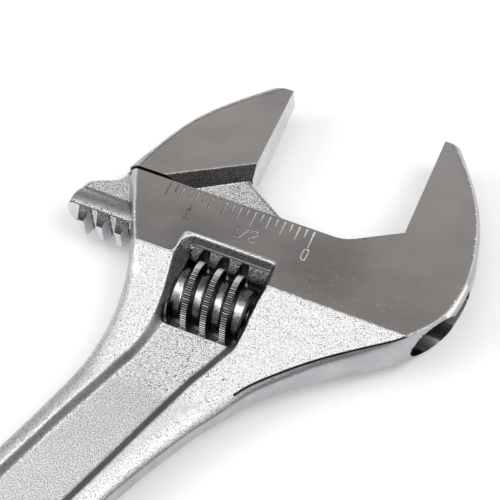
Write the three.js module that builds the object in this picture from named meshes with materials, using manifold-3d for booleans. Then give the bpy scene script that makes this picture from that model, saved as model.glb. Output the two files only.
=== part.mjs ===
// Adjustable wrench, 10 inch size, shown with its jaws fully open.
// Five pieces: the forged body with the fixed jaw, the movable jaw with its rack, the worm (knurled
// adjusting screw), the pin that the worm turns on, and the spring that takes up the worm's end play.
//
// Everything is modelled in the head's own frame, in millimetres: x runs along the slide towards the
// fixed jaw, y from the slide edge up to the jaw tips, z out of the side face, z = 0 being the middle plane.
// The last lines turn the group so that the handle lies along X, and set it on the plane z = 0.
import * as THREE from "three";
import { mergeVertices } from "three/addons/utils/BufferGeometryUtils.js";
import Module from "manifold-3d";

const wasm = await Module();
wasm.setup();

// ---- driving dimensions, mm ----
const INCH = 25.4;
const OVERALL_LENGTH = 10 * INCH;
const HEAD_ANGLE = THREE.MathUtils.degToRad(21.5); // between the handle and the jaw faces
const PITCH = INCH / 6; // worm lead and rack pitch
const FLANK_ANGLE = THREE.MathUtils.degToRad(14.5); // each side of a worm thread or rack tooth
const GAP = 0.35; // running clearance between moving pieces

const JAW_FACE_X = 16.85; // fixed jaw face
const JAW_OPENING = 34; // between the jaw faces, fully open
const TIP_Y = 30; // jaw tips above the slide edge
const HALF_AT_SLIDE = 5.3; // half the head's thickness at the slide edge
const GROUND_TAPER = 0.0747; // ground faces thin towards the tips by this much per mm, each side
const GROUND_END_Y = -15.4; // where the ground face ends and the forged skin begins
const THROAT_Y = 6.2; // bottom of the fixed jaw face, where the 30 degree throat begins
const THROAT_SLOPE = Math.tan(Math.PI / 6);

const HANDLE_HALF = 3.6; // half the handle's thickness over the flanges
const HANDLE_T = -2.9; // middle of the handle, across its axis
const HANDLE_WIDTH_ROOT = 23.4;
const HANDLE_WIDTH_WAIST = 22.4;
const HANDLE_END_RADIUS = 12.6;
const PANEL_T = -2.4; // middle of the recessed panel, across the handle's axis
const PANEL_HALF = 6.7;
const PANEL_DEPTH = 1.4;
const PANEL_END_FROM_TIP = 34; // from the handle's end to the panel's round end
const HANG_HOLE_RADIUS = 5.6;
const SIDE_BEVEL = 1.9; // the sides lean in this much towards the faces

const BAR_Y = -10.9; // axis of the rack bar and its round channel
const BAR_RADIUS = 4.7;
const BAR_START_X = -50;
const BAR_END_X = -3.5;
const RACK_TIP_Y = -14.35; // flat tips of the rack teeth
const RACK_ROOT_Y = -12.15;
const NECK_HALF = 1.8; // half the thickness of the jaw's neck

const WORM_Y = -20.7; // axis of the worm, parallel to the slide
const WORM_RADIUS = 7.65;
const WORM_ROOT_RADIUS = 5.75;
const WORM_START_X = -21.4;
const WORM_END_X = -6.1;
const CREST_HALF = 0.6; // half the width of a thread crest
const CREST_X = -19.0; // a crest's middle where it meets the rack

const WINDOW = { left: -21.8, right: -5.4, bottom: -29.1, top: -12.4 };
const PIN_RADIUS = 1.45;
const PIN_HEAD_RADIUS = 2.3;
const PIN_HEAD_X = -32; // outer face of the pin's slotted head
const PIN_HEAD_LENGTH = 3;
const PIN_END_X = 2.2;
const SPRING_RADIUS = 2.3; // of the coil's middle line
const SPRING_WIRE = 0.35; // radius
const SPRING_POCKET = 5.2; // depth of the pocket in the worm's end

// ---- solids ----
const along = new THREE.Vector2(-Math.sin(HEAD_ANGLE), -Math.cos(HEAD_ANGLE)); // down the handle
const across = new THREE.Vector2(Math.cos(HEAD_ANGLE), -Math.sin(HEAD_ANGLE));

// A point given by its distance down the handle, s, and across it, t.
function onHandle(s, t) {
  return new THREE.Vector2().addScaledVector(along, s).addScaledVector(across, t);
}

function points(...pairs) {
  return pairs.map(([x, y]) => new THREE.Vector2(x, y));
}

function solid(geometry) {
  geometry.deleteAttribute("normal");
  geometry.deleteAttribute("uv");
  const merged = mergeVertices(geometry, 1e-4);
  const mesh = new wasm.Mesh({
    numProp: 3,
    vertProperties: new Float32Array(merged.attributes.position.array),
    triVerts: new Uint32Array(merged.index.array),
  });
  return new wasm.Manifold(mesh);
}

function meshOf(name, manifold, material) {
  const data = manifold.getMesh();
  const geometry = new THREE.BufferGeometry();
  geometry.setAttribute("position", new THREE.BufferAttribute(new Float32Array(data.vertProperties), 3));
  geometry.setIndex(new THREE.BufferAttribute(new Uint32Array(data.triVerts), 1));
  geometry.computeVertexNormals();
  const mesh = new THREE.Mesh(geometry, material);
  mesh.name = name;
  return mesh;
}

// A plan outline made into a solid from z = low to z = high.
function prism(outline, low, high, curveSegments = 8) {
  const shape = outline instanceof THREE.Shape ? outline : new THREE.Shape(outline);
  const geometry = new THREE.ExtrudeGeometry(shape, { depth: high - low, bevelEnabled: false, curveSegments });
  return solid(geometry.translate(0, 0, low));
}

// A profile given as [y, z] pairs made into a solid from x = low to x = high.
function barAlongX(profile, low, high) {
  const geometry = new THREE.ExtrudeGeometry(new THREE.Shape(points(...profile)), {
    depth: high - low,
    bevelEnabled: false,
  });
  geometry.rotateX(Math.PI / 2).rotateZ(Math.PI / 2);
  return solid(geometry.translate(low, 0, 0));
}

// A round bar along x, its ends rounded off by a chamfer.
function roundAlongX(radius, y, low, high, chamfer = 0, segments = 32) {
  const profile = points([0, low], [radius - chamfer, low], [radius, low + chamfer]);
  profile.push(...points([radius, high - chamfer], [radius - chamfer, high], [0, high]));
  const outline = chamfer ? profile : points([0, low], [radius, low], [radius, high], [0, high]);
  const geometry = new THREE.LatheGeometry(outline, segments);
  return solid(geometry.rotateZ(-Math.PI / 2).translate(0, y, 0));
}

// A plan outline made into a solid whose sides are widest at z = 0 and lean in towards both faces.
function leaningPrism(outline) {
  const geometry = new THREE.ExtrudeGeometry(outline, {
    depth: 4,
    bevelThickness: 4.7,
    bevelSize: SIDE_BEVEL,
    bevelOffset: -SIDE_BEVEL,
    bevelSegments: 3,
    curveSegments: 5,
  });
  return solid(geometry.translate(0, 0, -2));
}

// Both ground faces and the forged skin below them, as one profile along x. Inset makes it thinner.
function thicknessEnvelope(inset) {
  const skin = [[TIP_Y + 5, groundHalf(TIP_Y + 5)], [GROUND_END_Y, groundHalf(GROUND_END_Y)]];
  const skinSteps = 8;
  const skinLength = 28;
  for (let i = 1; i <= skinSteps; i++) {
    const share = i / skinSteps;
    const rise = groundHalf(GROUND_END_Y) - HANDLE_HALF;
    skin.push([GROUND_END_Y - share * skinLength, HANDLE_HALF + rise * (1 - share) ** 1.3]);
  }
  skin.push([-OVERALL_LENGTH, HANDLE_HALF]);
  const top = skin.map(([y, z]) => [y, z - inset]);
  const bottom = top.map(([y, z]) => [y, -z]).reverse();
  return barAlongX([...top, ...bottom], -150, 60);
}

function groundHalf(y) {
  return HALF_AT_SLIDE - GROUND_TAPER * y;
}

// ---- body ----
const TIP_OUTER = new THREE.Vector2(19.6, TIP_Y);
const handleEnd = OVERALL_LENGTH + TIP_OUTER.dot(along); // the handle's end, measured down the handle

// The outside of the body at its middle plane, with the jaw opening not yet cut.
function bodyOutline() {
  const endCentre = handleEnd - HANDLE_END_RADIUS;
  const waist = handleEnd * 0.62;
  const rootHalf = HANDLE_WIDTH_ROOT / 2;
  const waistHalf = HANDLE_WIDTH_WAIST / 2;
  const shape = new THREE.Shape();
  shape.moveTo(-41.2, TIP_Y);
  shape.lineTo(-41.2, 0);
  shape.splineThru([
    ...points([-37.9, -6.8], [-34.9, -13], [-32.5, -22], [-31.2, -30.5], [-32, -39]),
    onHandle(58, HANDLE_T - rootHalf),
    onHandle(85, HANDLE_T - rootHalf + 0.1),
    onHandle(waist, HANDLE_T - waistHalf),
    onHandle(endCentre - 20, HANDLE_T - waistHalf - 0.4),
    onHandle(endCentre, HANDLE_T - HANDLE_END_RADIUS),
  ]);
  const facing = Math.atan2(-across.y, -across.x);
  const centre = onHandle(endCentre, HANDLE_T);
  shape.absarc(centre.x, centre.y, HANDLE_END_RADIUS, facing, facing + Math.PI, false);
  shape.splineThru([
    onHandle(endCentre - 20, HANDLE_T + waistHalf + 0.4),
    onHandle(waist, HANDLE_T + waistHalf),
    onHandle(85, HANDLE_T + rootHalf - 0.1),
    onHandle(62, HANDLE_T + rootHalf),
    ...points([-7.7, -49.6], [-1.7, -40.3], [7.7, -31.1], [19.5, -22], [27.7, -15.9], [31.8, -9.9]),
    ...points([33.6, -2.7], [33.3, 5.2], [31.2, 12.4], [27.9, 19.6], [23.7, 25.6]),
    TIP_OUTER,
  ]);
  shape.closePath();
  return shape;
}

// The space between the jaws: above the slide edge, left of the fixed jaw face, down to the throat.
function jawOpening() {
  const throatFoot = JAW_FACE_X - THROAT_Y / THROAT_SLOPE;
  const outline = points([-80, 0], [throatFoot, 0], [JAW_FACE_X, THROAT_Y], [JAW_FACE_X, 60], [-80, 60]);
  return prism(outline, -20, 20);
}

// The slot that the neck of the movable jaw runs in. Its roof drops inside the fixed jaw's root.
function neckSlot() {
  const half = NECK_HALF + GAP;
  const roof = points([60, 0.35], [29.2, 0.35], [17.2, 7.3], [10, 7.3], [10, 12], [-80, 12]);
  return prism([...points([-80, BAR_Y], [60, BAR_Y]), ...roof], -half, half);
}

// The worm's window, with the lean of its upper and left walls.
function wormWindow() {
  const { left, right, bottom, top } = WINDOW;
  let cut = prism(points([left, bottom], [right, bottom], [right, top], [left, top]), -20, 20);
  for (const side of [1, -1]) {
    const wall = [[top - 3, 4.4 * side], [top, 4.7 * side], [top + 2.3, 6.1 * side], [top + 8, 9.6 * side]];
    cut = cut.add(barAlongX([...wall, [top - 3, 9.6 * side]], left - 0.5, right));
    const lean = new THREE.Shape(points([left + 1, 2.4], [left, 2.4], [left - 5.6, 9.6], [left + 1, 9.6]));
    const geometry = new THREE.ExtrudeGeometry(lean, { depth: top - bottom, bevelEnabled: false });
    geometry.rotateX(Math.PI / 2).translate(0, top, 0);
    const wedge = solid(geometry);
    cut = cut.add(side > 0 ? wedge : wedge.mirror([0, 0, 1]));
  }
  return cut;
}

// The recessed panel on both sides of the handle, from the worm's window to near the hanging hole.
function panelRecess() {
  const end = handleEnd - PANEL_END_FROM_TIP - PANEL_HALF;
  const left = PANEL_T - PANEL_HALF;
  const right = PANEL_T + PANEL_HALF;
  const shape = new THREE.Shape();
  shape.moveTo(WINDOW.right - 0.4, WINDOW.bottom + 1);
  shape.lineTo(WINDOW.left - 0.6, WINDOW.bottom + 1);
  shape.splineThru([onHandle(38, left - 0.3), onHandle(46, left)]);
  const farLeft = onHandle(end, left);
  const centre = onHandle(end, PANEL_T);
  const facing = Math.atan2(-across.y, -across.x);
  shape.lineTo(farLeft.x, farLeft.y);
  shape.absarc(centre.x, centre.y, PANEL_HALF, facing, facing + Math.PI, false);
  const nearRight = onHandle(36, right);
  shape.lineTo(nearRight.x, nearRight.y);
  shape.closePath();
  return prism(shape, -20, 20).subtract(thicknessEnvelope(PANEL_DEPTH));
}

function body() {
  const hole = new THREE.Shape();
  const holeCentre = onHandle(handleEnd - HANDLE_END_RADIUS - 0.5, HANDLE_T);
  hole.absarc(holeCentre.x, holeCentre.y, HANG_HOLE_RADIUS, 0, 2 * Math.PI, false);
  const cuts = [
    jawOpening(),
    neckSlot(),
    roundAlongX(BAR_RADIUS + GAP, BAR_Y, -80, 60),
    wormWindow(),
    panelRecess(),
    roundAlongX(PIN_RADIUS + GAP, WORM_Y, -60, PIN_END_X + GAP, 0, 20),
    roundAlongX(PIN_HEAD_RADIUS + GAP, WORM_Y, -60, PIN_HEAD_X + PIN_HEAD_LENGTH + GAP, 0, 20),
    prism(hole, -20, 20, 16),
  ];
  return cuts.reduce((made, cut) => made.subtract(cut), leaningPrism(bodyOutline()).intersect(thicknessEnvelope(0)));
}

// ---- movable jaw ----
const MOVING_FACE_X = JAW_FACE_X - JAW_OPENING;
const LEDGE_Y = 0.4; // underside of the jaw's ledge, just above the slide edge
const STEP_X = -33.6; // where the ledge turns up towards the jaw face at 30 degrees

// The thick part that holds the jaw face, ground flush with the head.
function jawBlade() {
  const shape = new THREE.Shape();
  shape.moveTo(MOVING_FACE_X + 4, TIP_Y + 0.2);
  shape.lineTo(-19.6, TIP_Y + 0.2);
  const outer = points([-24.3, 27.2], [-29.5, 22.4], [-34.3, 16.9], [-38.4, 10.1], [-41.1, 4.3], [-42, 0]);
  shape.splineThru(outer);
  shape.lineTo(-42, -4);
  shape.lineTo(MOVING_FACE_X + 4, -4);
  shape.closePath();
  const stepEnd = LEDGE_Y + (MOVING_FACE_X - STEP_X) * THROAT_SLOPE;
  const keep = points([-60, LEDGE_Y], [STEP_X, LEDGE_Y], [MOVING_FACE_X, stepEnd], [MOVING_FACE_X, 60], [-60, 60]);
  return leaningPrism(shape).intersect(thicknessEnvelope(0)).intersect(prism(keep, -20, 20));
}

// The thin neck that joins the blade to the rack bar through the slot.
function jawNeck() {
  const footX = MOVING_FACE_X + THROAT_Y / THROAT_SLOPE;
  const right = points([MOVING_FACE_X, 12], [MOVING_FACE_X, THROAT_Y], [footX, 0], [footX + 1, -1.5]);
  const foot = points([BAR_END_X - 1, BAR_Y], [BAR_START_X + 1, BAR_Y], [BAR_START_X + 0.8, -4.6]);
  const left = points([-44.4, -2.5], [-42.9, -1.5], [-42, LEDGE_Y], [-39, 6], [-30, 15]);
  return prism([...right, ...foot, ...left].reverse(), -NECK_HALF, NECK_HALF);
}

// One gap between two rack teeth, leaning by the worm's lead so that the thread lies square in it.
function rackGap(middle, openLeft) {
  const rootHalf = PITCH / 2 - 0.65 - (RACK_ROOT_Y - RACK_TIP_Y) * Math.tan(FLANK_ANGLE);
  const mouthHalf = rootHalf + (RACK_ROOT_Y - RACK_TIP_Y + 2) * Math.tan(FLANK_ANGLE);
  const outer = openLeft ? 4 : mouthHalf;
  const outline = points([-outer, RACK_TIP_Y - 2], [mouthHalf, RACK_TIP_Y - 2], [rootHalf, RACK_ROOT_Y]);
  outline.push(new THREE.Vector2(openLeft ? -4 : -rootHalf, RACK_ROOT_Y));
  const lean = PITCH / (2 * Math.PI * WORM_RADIUS);
  const shear = new THREE.Matrix4().set(1, 0, lean, middle, 0, 1, 0, 0, 0, 0, 1, 0, 0, 0, 0, 1);
  const geometry = new THREE.ExtrudeGeometry(new THREE.Shape(outline), { depth: 12, bevelEnabled: false });
  return solid(geometry.translate(0, 0, -6).applyMatrix4(shear));
}

function rackBar() {
  const flat = [[RACK_TIP_Y, -9], [RACK_TIP_Y, 9], [RACK_TIP_Y - 9, 9], [RACK_TIP_Y - 9, -9]];
  let bar = roundAlongX(BAR_RADIUS, BAR_Y, BAR_START_X, BAR_END_X, 1.2, 40);
  bar = bar.subtract(barAlongX(flat, -80, 60));
  for (let k = -7; k <= 2; k++) {
    bar = bar.subtract(rackGap(CREST_X + k * PITCH, k === -7));
  }
  return bar;
}

function movableJaw() {
  return jawBlade().add(jawNeck()).add(rackBar());
}

// ---- worm ----
// The thread as one closed helical surface, longer than the worm, cut to length afterwards. Each turn
// has four corners (up a flank, along the crest, down a flank), and each turn joins on to the next.
function threadedBar() {
  const sides = 30;
  const turns = 7;
  const flank = (WORM_RADIUS - WORM_ROOT_RADIUS) * Math.tan(FLANK_ANGLE);
  const corners = [
    [-CREST_HALF - flank, WORM_ROOT_RADIUS],
    [-CREST_HALF, WORM_RADIUS],
    [CREST_HALF, WORM_RADIUS],
    [CREST_HALF + flank, WORM_ROOT_RADIUS],
  ];
  const rows = turns * corners.length;
  const position = [];
  const index = [];
  const start = CREST_X - 2 * PITCH;
  const lastCrest = CREST_X + 2.8 * PITCH; // the thread runs out before the worm's right end
  for (let side = 0; side < sides; side++) {
    // The angle is measured about +x from +y, where the thread meets the rack.
    const turned = side / sides;
    const angle = 2 * Math.PI * turned;
    for (let row = 0; row < rows; row++) {
      const [offset, radius] = corners[row % corners.length];
      const middle = start + (Math.floor(row / corners.length) + turned) * PITCH;
      const fade = THREE.MathUtils.clamp((lastCrest - middle) / (0.2 * PITCH), 0, 1);
      const r = WORM_ROOT_RADIUS + (radius - WORM_ROOT_RADIUS) * fade;
      position.push(middle + offset, r * Math.cos(angle), r * Math.sin(angle));
    }
  }
  const at = (side, row) => side * rows + row;
  for (let side = 0; side < sides; side++) {
    const wraps = side === sides - 1;
    const next = wraps ? 0 : side + 1;
    const shift = wraps ? corners.length : 0;
    for (let row = 0; row + 1 + shift < rows; row++) {
      index.push(at(side, row), at(next, row + shift), at(next, row + 1 + shift));
      index.push(at(side, row), at(next, row + 1 + shift), at(side, row + 1));
    }
  }
  // Fans close both ends. Each rim runs once round the bar and back along one turn's corners.
  const lowRim = Array.from({ length: sides }, (_, side) => at(side, 0));
  for (let row = corners.length; row > 0; row--) lowRim.push(at(0, row));
  const highRim = Array.from({ length: sides }, (_, side) => at(side, rows - 1));
  highRim.reverse();
  for (let row = rows - corners.length - 1; row < rows - 1; row++) highRim.push(at(sides - 1, row));
  for (const [rim, x] of [[lowRim, start - PITCH], [highRim, start + (turns + 1) * PITCH]]) {
    const centre = position.length / 3;
    position.push(x, 0, 0);
    rim.forEach((vertex, i) => index.push(centre, rim[(i + 1) % rim.length], vertex));
  }
  const geometry = new THREE.BufferGeometry();
  geometry.setAttribute("position", new THREE.Float32BufferAttribute(position, 3));
  geometry.setIndex(index);
  return solid(geometry.translate(0, WORM_Y, 0));
}

function worm() {
  const pocket = roundAlongX(SPRING_RADIUS + SPRING_WIRE + GAP, WORM_Y, WORM_END_X - SPRING_POCKET, 20, 0, 24);
  return threadedBar()
    .intersect(roundAlongX(WORM_RADIUS + 1, WORM_Y, WORM_START_X, WORM_END_X, 0, 48))
    .subtract(roundAlongX(PIN_RADIUS + GAP, WORM_Y, -60, 60, 0, 20))
    .subtract(pocket);
}

// ---- pin and spring ----
function wormPin() {
  const shank = roundAlongX(PIN_RADIUS, WORM_Y, PIN_HEAD_X + 1, PIN_END_X, 0.4, 20);
  const head = roundAlongX(PIN_HEAD_RADIUS, WORM_Y, PIN_HEAD_X, PIN_HEAD_X + PIN_HEAD_LENGTH, 0.3, 20);
  const slot = [[WORM_Y - 0.4, -4], [WORM_Y + 0.4, -4], [WORM_Y + 0.4, 4], [WORM_Y - 0.4, 4]];
  return shank.add(head).subtract(barAlongX(slot, PIN_HEAD_X - 1, PIN_HEAD_X + 0.9));
}

class Coil extends THREE.Curve {
  constructor(radius, low, high, turns) {
    super();
    Object.assign(this, { radius, low, high, turns });
  }
  getPoint(share, target = new THREE.Vector3()) {
    const angle = share * this.turns * 2 * Math.PI;
    const x = THREE.MathUtils.lerp(this.low, this.high, share);
    return target.set(x, this.radius * Math.cos(angle), this.radius * Math.sin(angle));
  }
}

function wormSpring() {
  const turns = 4.5;
  const low = WORM_END_X - SPRING_POCKET + SPRING_WIRE + GAP;
  const high = WINDOW.right - SPRING_WIRE - GAP;
  const wire = new THREE.Shape().absarc(0, 0, SPRING_WIRE, 0, 2 * Math.PI, false);
  const geometry = new THREE.ExtrudeGeometry(wire, {
    extrudePath: new Coil(SPRING_RADIUS, low, high, turns),
    steps: Math.round(turns * 16),
    curveSegments: 4,
    bevelEnabled: false,
  });
  return solid(geometry.translate(0, WORM_Y, 0));
}

// ---- the wrench ----
const platedSteel = new THREE.MeshStandardMaterial({ color: 0xc9cacb, metalness: 0.9, roughness: 0.45 });
const groundSteel = new THREE.MeshStandardMaterial({ color: 0x8f8984, metalness: 0.95, roughness: 0.35 });
const darkSteel = new THREE.MeshStandardMaterial({ color: 0x5d5d5e, metalness: 1, roughness: 0.25 });
const pinSteel = new THREE.MeshStandardMaterial({ color: 0x9a9b9c, metalness: 1, roughness: 0.3 });
const springSteel = new THREE.MeshStandardMaterial({ color: 0x6f655c, metalness: 1, roughness: 0.35 });

const head = new THREE.Group();
head.add(meshOf("body", body(), platedSteel));
head.add(meshOf("movable_jaw", movableJaw(), groundSteel));
head.add(meshOf("worm", worm(), darkSteel));
head.add(meshOf("worm_pin", wormPin(), pinSteel));
head.add(meshOf("worm_spring", wormSpring(), springSteel));
head.rotation.z = HEAD_ANGLE - Math.PI / 2;

const wrench = new THREE.Group();
wrench.add(head);
const extent = new THREE.Box3().setFromObject(wrench, true);
const middle = extent.getCenter(new THREE.Vector3());
wrench.position.set(-middle.x, -middle.y, -extent.min.z);

export default wrench;
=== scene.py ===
"""Adjustable wrench: detailed meshes, materials, floor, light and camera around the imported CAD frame.

Every shape below is measured in the head's own frame, in millimetres: x runs along the slide towards
the fixed jaw, y from the slide edge up to the jaw tips, z out of the side face with the scale, and
z = 0 is the middle plane. to_row() turns it into the row frame, in metres.
"""
import math

import bmesh
import bpy
import numpy as np
from mathutils import Matrix, Vector


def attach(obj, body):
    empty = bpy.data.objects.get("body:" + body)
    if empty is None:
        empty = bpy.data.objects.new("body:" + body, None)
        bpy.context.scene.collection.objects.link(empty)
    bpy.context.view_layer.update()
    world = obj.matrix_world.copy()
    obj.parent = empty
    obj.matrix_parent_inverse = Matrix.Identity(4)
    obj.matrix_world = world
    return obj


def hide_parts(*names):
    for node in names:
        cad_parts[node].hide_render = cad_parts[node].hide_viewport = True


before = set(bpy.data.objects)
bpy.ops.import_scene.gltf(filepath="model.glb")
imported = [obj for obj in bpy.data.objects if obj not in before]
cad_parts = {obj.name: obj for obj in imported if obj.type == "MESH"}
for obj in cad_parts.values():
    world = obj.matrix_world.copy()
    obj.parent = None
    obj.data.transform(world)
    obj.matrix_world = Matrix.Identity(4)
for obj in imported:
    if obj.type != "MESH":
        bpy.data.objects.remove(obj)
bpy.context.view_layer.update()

# ---- dimensions, mm ----
HEAD_ANGLE = math.radians(21.5)
ORIGIN = (91.904, -5.5443, 7.6081)  # the head frame's origin in the row frame
PITCH = 25.4 / 6
CREST_X = -19.0  # a crest's middle where it meets the rack
FLANK = math.tan(math.radians(14.5))

JAW_FACE = 16.85
MOVING_FACE = -17.15
TIP_Y = 29.9
MOVING_TIP_Y = 30.1
NOSE_REACH = 35.05  # how far the fixed jaw's tip reaches along the handle's direction
THROAT_FOOT = 6.25
SLOPE_30 = math.tan(math.radians(30))
GROUND_HALF = 5.3
GROUND_TAPER = 0.0747
GROUND_END = -15.4
BULGE = 1.74  # how far the side walls stand out at the middle plane
HANDLE_HALF = 3.6
HANDLE_LENGTH = 218.85
END_RADIUS = 12.6
HANDLE_T = -2.9
BORE_Y = -10.9
BORE_RADIUS = 5.03
SLOT_HALF = 2.1
SLOT_ROOF = 7.5
ROOF_START = 12
ROOF_GRADE = 0.46  # the slot's roof comes down inside the fixed jaw
NECK_HALF = 1.85
BAR_RADIUS = 4.7
WORM_Y = -20.7

WINDOW_TOP, WINDOW_BOTTOM = -12.5, -29.1
WINDOW_LEFT, WINDOW_RIGHT = -21.6, -5.2
TOP_LIP, LEFT_LIP, RIGHT_LIP = 4.8, 4.3, 4.2  # heights at which the window's walls begin to spread
TOP_STEEPNESS = 0.525
LEFT_SPREAD = 1.25


def to_row(points):
    turn = HEAD_ANGLE - math.pi / 2
    c, s = math.cos(turn), math.sin(turn)
    x, y, z = np.asarray(points, float).T
    row = np.stack([c * x - s * y, s * x + c * y, z], 1) + np.array(ORIGIN)
    return row / 1000


def from_row(points):
    turn = math.pi / 2 - HEAD_ANGLE
    c, s = math.cos(turn), math.sin(turn)
    x, y, z = (np.asarray(points, float) * 1000 - np.array(ORIGIN)).T
    return np.stack([c * x - s * y, s * x + c * y, z], 1)


# ---- distance fields: each takes arrays x, y, z in mm and is negative inside ----
def smooth_max(a, b, radius):
    share = np.clip(0.5 + 0.5 * (a - b) / radius, 0, 1)
    return b + (a - b) * share + radius * share * (1 - share)


def smooth_min(a, b, radius):
    return -smooth_max(-a, -b, radius)


def smooth_step(t):
    t = np.clip(t, 0, 1)
    return t * t * (3 - 2 * t)


def spline(points, steps=6):
    """A smooth open curve through the points, as a list of points."""
    p = np.array([points[0]] + list(points) + [points[-1]], float)
    out = []
    for a, b, c, d in zip(p[:-3], p[1:-2], p[2:-1], p[3:]):
        for t in np.arange(steps) / steps:
            out.append(0.5 * (2 * b + (c - a) * t + (2 * a - 5 * b + 4 * c - d) * t**2
                              + (3 * b - a - 3 * c + d) * t**3))
    out.append(p[-1])
    return [tuple(q) for q in out]


def outline_distance(x, y, outline):
    """Signed distance to a closed outline in plan, negative inside."""
    x, y = np.broadcast_arrays(x, y)
    flat_x, flat_y = x.ravel(), y.ravel()
    a = np.array(outline, float)
    b = np.roll(a, -1, 0)
    result = np.empty(flat_x.size)
    for start in range(0, flat_x.size, 20000):
        px = flat_x[start:start + 20000, None]
        py = flat_y[start:start + 20000, None]
        ex, ey = (b - a).T
        wx, wy = px - a[:, 0], py - a[:, 1]
        t = np.clip((wx * ex + wy * ey) / (ex * ex + ey * ey), 0, 1)
        near = ((wx - t * ex) ** 2 + (wy - t * ey) ** 2).min(1)
        spans = (a[:, 1] > py) != (b[:, 1] > py)
        crosses = wx < wy * ex / np.where(ey == 0, 1e-9, ey)
        inside = (spans & crosses).sum(1) % 2 == 1
        result[start:start + 20000] = np.where(inside, -1, 1) * np.sqrt(near)
    return result.reshape(x.shape)


def on_handle(s, t):
    """A point s down the handle and t across it."""
    return (t * math.cos(HEAD_ANGLE) - s * math.sin(HEAD_ANGLE),
            -t * math.sin(HEAD_ANGLE) - s * math.cos(HEAD_ANGLE))


def half_circle(centre, radius, steps=20):
    """The half of a circle that faces down the handle, from its left to its right."""
    points = []
    for i in range(steps + 1):
        turn = math.pi * i / steps
        x, y = on_handle(radius * math.sin(turn), -radius * math.cos(turn))
        points.append((centre[0] + x, centre[1] + y))
    return points


def ground_half(y):
    return GROUND_HALF - GROUND_TAPER * y


def skin_half(y):
    """Half the thickness over the forged skin, which thins from the head to the handle."""
    share = (GROUND_END - y) / 28
    rise = ground_half(GROUND_END) - HANDLE_HALF
    return HANDLE_HALF + rise * np.clip(1 - share, 0, 3) ** 1.3


def bulge(z, half):
    """How far a side wall stands out at this height."""
    return BULGE * (1 - np.clip(np.abs(z) / half, 0, 1.15) ** 3.5)


# ---- body ----
end_radius = END_RADIUS - BULGE
end_centre = on_handle(HANDLE_LENGTH - END_RADIUS, HANDLE_T)
LEFT_EDGE = spline([
    (-39.7, 0), (-38.7, -2.7), (-37.2, -6.1), (-35.8, -9.4), (-34.2, -12.6), (-32.7, -15.6),
    (-31.4, -19.2), (-30.3, -23.4), (-29.6, -28), (-29.4, -32.5), (-29.7, -37), (-30.5, -42),
    on_handle(55, -12.5), on_handle(64, -12.15), on_handle(80, -12), on_handle(105, -11.9),
    on_handle(135, -11.8), on_handle(165, -12.2), on_handle(188, -13)])
RIGHT_EDGE = spline([
    on_handle(188, 7.2), on_handle(165, 6.7), on_handle(135, 6.5), on_handle(105, 6.7),
    on_handle(80, 7.2), on_handle(66, 7.8), on_handle(57, 8.5), on_handle(49, 9.5), (-7.2, -45.8),
    (-3.3, -40.4), (0.7, -35.1), (5.2, -30.7), (9.8, -26.7), (14.6, -23.1), (19.4, -19.8),
    (24.3, -16.4), (27.2, -13.2), (29.25, -10.5), (31, -6.7), (31.9, -1.2), (31.7, 4),
    (30.9, 8.25), (29.5, 13.2), (27.7, 17.5), (24.8, 22.4), (20.95, 27.3), (18.4, 30.1)])
BODY_EDGE = ([(-39.7, 45), *LEFT_EDGE] + half_circle(end_centre, end_radius)
             + [*RIGHT_EDGE, (5, 45)])

PANEL_LEFT, PANEL_RIGHT = -9.4, 4.05
panel_half = (PANEL_RIGHT - PANEL_LEFT) / 2
PANEL_EDGE = ([(-21.9, -24), *spline([(-21.8, -28), (-22.1, -31), (-23.0, -34.8), (-24.1, -37.8),
                                       on_handle(46.5, -8.8), on_handle(62, PANEL_LEFT)])]
              + half_circle(on_handle(HANDLE_LENGTH - 38, PANEL_LEFT + panel_half), panel_half)
              + spline([on_handle(60, PANEL_RIGHT), on_handle(42, PANEL_RIGHT), (-8.9, -35.2),
                        (-7.2, -31.9), (-5.8, -29.2)]) + [(-5.4, -24)])
PANEL_DEPTH = 1.4
PANEL_WALL = 2.4
HOLE_RADIUS = 5.6
HOLE_FLARE = 0.9
PIN_BORE_RADIUS, PIN_BORE_END = 1.8, 2.5
HEAD_BORE_RADIUS, HEAD_BORE_END = 2.55, -28.8


def jaw_opening(x, y):
    """The space between the jaws, with the rounded foot of the throat."""
    floor = smooth_max(-y, ((x - THROAT_FOOT) * SLOPE_30 - y) * math.cos(math.pi / 6), 1.2)
    return np.maximum(floor, x - JAW_FACE)


def slide_channel(x, y, z):
    """The keyhole channel that the movable jaw's bar and neck run in."""
    bore = np.hypot(y - BORE_Y, z) - BORE_RADIUS
    inside_jaw = np.maximum(x - JAW_FACE, 0)
    roof = y - SLOT_ROOF + np.where(x > ROOF_START, inside_jaw * ROOF_GRADE, -0.5)
    slot = np.maximum(np.abs(z) - SLOT_HALF, np.maximum(roof, BORE_Y - y))
    return np.minimum(bore, slot)


def worm_window(x, y, z):
    """The opening that the worm sits in, with sloping walls above and to its left."""
    height = np.abs(z)
    top, left = y - WINDOW_TOP, WINDOW_LEFT - x
    top = np.minimum(top, (top - (height - TOP_LIP) / TOP_STEEPNESS) * 0.465)
    left = np.minimum(left, (left - (height - LEFT_LIP) * LEFT_SPREAD) * 0.62)
    right = x - WINDOW_RIGHT - 0.35 * np.clip(height - RIGHT_LIP, 0, 4) ** 1.5
    bottom = WINDOW_BOTTOM - y
    cut = smooth_max(top, left, 1.3)
    return smooth_max(smooth_max(cut, right, 0.5), bottom, 1.8)


def body_walls(x, y, z):
    """Distances outside the outer walls and outside the nearer side face."""
    full = np.minimum(ground_half(y), skin_half(y))
    edge = outline_distance(x, y, BODY_EDGE)
    into_panel = -outline_distance(x, y, PANEL_EDGE)
    half = full - PANEL_DEPTH * smooth_step(into_panel / PANEL_WALL + 0.5)
    flatter = 1 - 0.5 * smooth_step((x - 16) / 10) * smooth_step((y + 24) / 14)
    return edge - bulge(z, full) * flatter, np.abs(z) - half


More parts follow.
